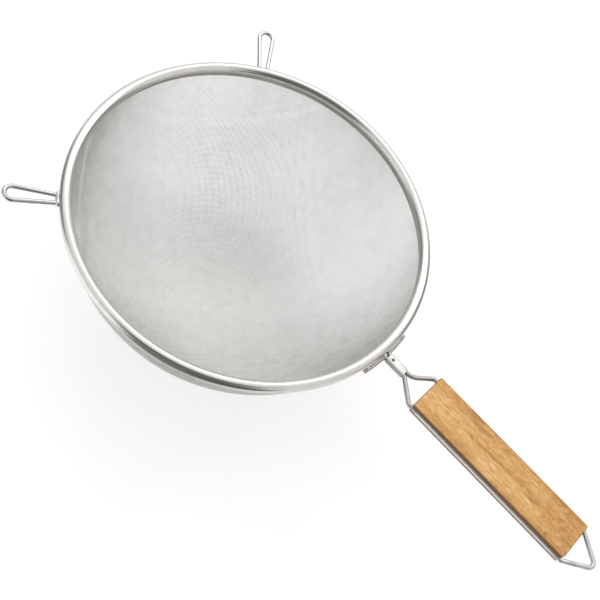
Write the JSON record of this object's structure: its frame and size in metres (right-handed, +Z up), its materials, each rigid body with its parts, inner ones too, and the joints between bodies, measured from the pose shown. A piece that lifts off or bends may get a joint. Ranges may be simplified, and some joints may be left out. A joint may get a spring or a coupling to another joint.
{
  "type": "fine mesh sieve",
  "caption": "Round fine mesh sieve with a deep woven bowl, rolled steel rim, rest hooks and a wire handle with a flat wooden grip and hanging loop.",
  "frame": {"origin": "centre of the flat pressed into the bottom of the bowl", "axes": "+Z up, out of the bowl's mouth; +X along the handle, away from the bowl"},
  "size_m": [0.4501, 0.26, 0.1145],
  "materials": {
    "mesh": "fine woven wire, satin",
    "rim_steel": "polished stainless strip",
    "wire_steel": "bright drawn wire",
    "collar_steel": "bright pressed tube",
    "weld": "bright silver weld bead",
    "wood": "plain sanded light wood"
  },
  "bodies": {
    "root": {"mesh_bowl": "mesh", "rim_strip": "rim_steel", "rim_core_wire": "wire_steel", "rest_hook_left": "wire_steel", "rest_hook_right": "wire_steel", "hook_weld_left": "weld", "hook_weld_right": "weld", "handle_wire": "wire_steel", "wire_weld_left": "weld", "wire_weld_right": "weld", "collar": "collar_steel", "wood_handle": "wood"}
  },
  "joints": []
}
